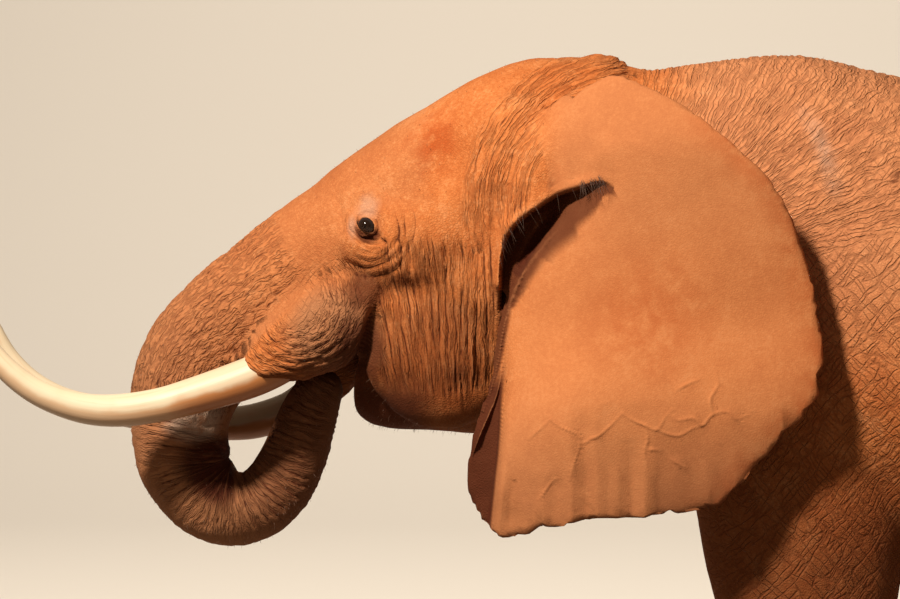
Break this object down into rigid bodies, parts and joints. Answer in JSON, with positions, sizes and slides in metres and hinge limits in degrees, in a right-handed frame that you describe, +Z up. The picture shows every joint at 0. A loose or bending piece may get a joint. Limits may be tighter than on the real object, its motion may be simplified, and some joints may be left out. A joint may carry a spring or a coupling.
{
  "type": "elephant",
  "caption": "Standing African savanna elephant with its trunk curled into its mouth, large hanging ears and upturned tusks, as a still life-size model.",
  "frame": {"origin": "middle of the whole length and width, at floor level under the soles", "axes": "+Z is up, the elephant faces -X, its left side is towards -Y"},
  "size_m": [4.9282, 1.4468, 3.0036],
  "materials": {
    "elephant_skin": "wrinkled hide under red dust",
    "tusk_ivory": "satin ivory",
    "nail_horn": "dull horn",
    "eye_dark": "wet gloss",
    "tail_hair": "coarse stiff hair"
  },
  "bodies": {
    "root": {"barrel": "elephant_skin", "chest": "elephant_skin", "ear_left": "elephant_skin", "ear_right": "elephant_skin", "eye_left": "eye_dark", "eye_right": "eye_dark", "foot_front_left": "elephant_skin", "foot_front_right": "elephant_skin", "foot_hind_left": "elephant_skin", "foot_hind_right": "elephant_skin", "head": "elephant_skin", "jaw": "elephant_skin", "lower_leg_front_left": "elephant_skin", "lower_leg_front_right": "elephant_skin", "lower_leg_hind_left": "elephant_skin", "lower_leg_hind_right": "elephant_skin", "muzzle": "elephant_skin", "nail_front_left_1": "nail_horn", "nail_front_left_2": "nail_horn", "nail_front_left_3": "nail_horn", "nail_front_left_4": "nail_horn", "nail_front_right_1": "nail_horn", "nail_front_right_2": "nail_horn", "nail_front_right_3": "nail_horn", "nail_front_right_4": "nail_horn", "nail_hind_left_1": "nail_horn", "nail_hind_left_2": "nail_horn", "nail_hind_left_3": "nail_horn", "nail_hind_right_1": "nail_horn", "nail_hind_right_2": "nail_horn", "nail_hind_right_3": "nail_horn", "neck": "elephant_skin", "rump": "elephant_skin", "tail": "elephant_skin", "tail_tuft": "tail_hair", "trunk_bend": "elephant_skin", "trunk_fall": "elephant_skin", "trunk_rise": "elephant_skin", "tusk_left": "tusk_ivory", "tusk_right": "tusk_ivory", "upper_leg_front_left": "elephant_skin", "upper_leg_front_right": "elephant_skin", "upper_leg_hind_left": "elephant_skin", "upper_leg_hind_right": "elephant_skin"}
  },
  "joints": []
}
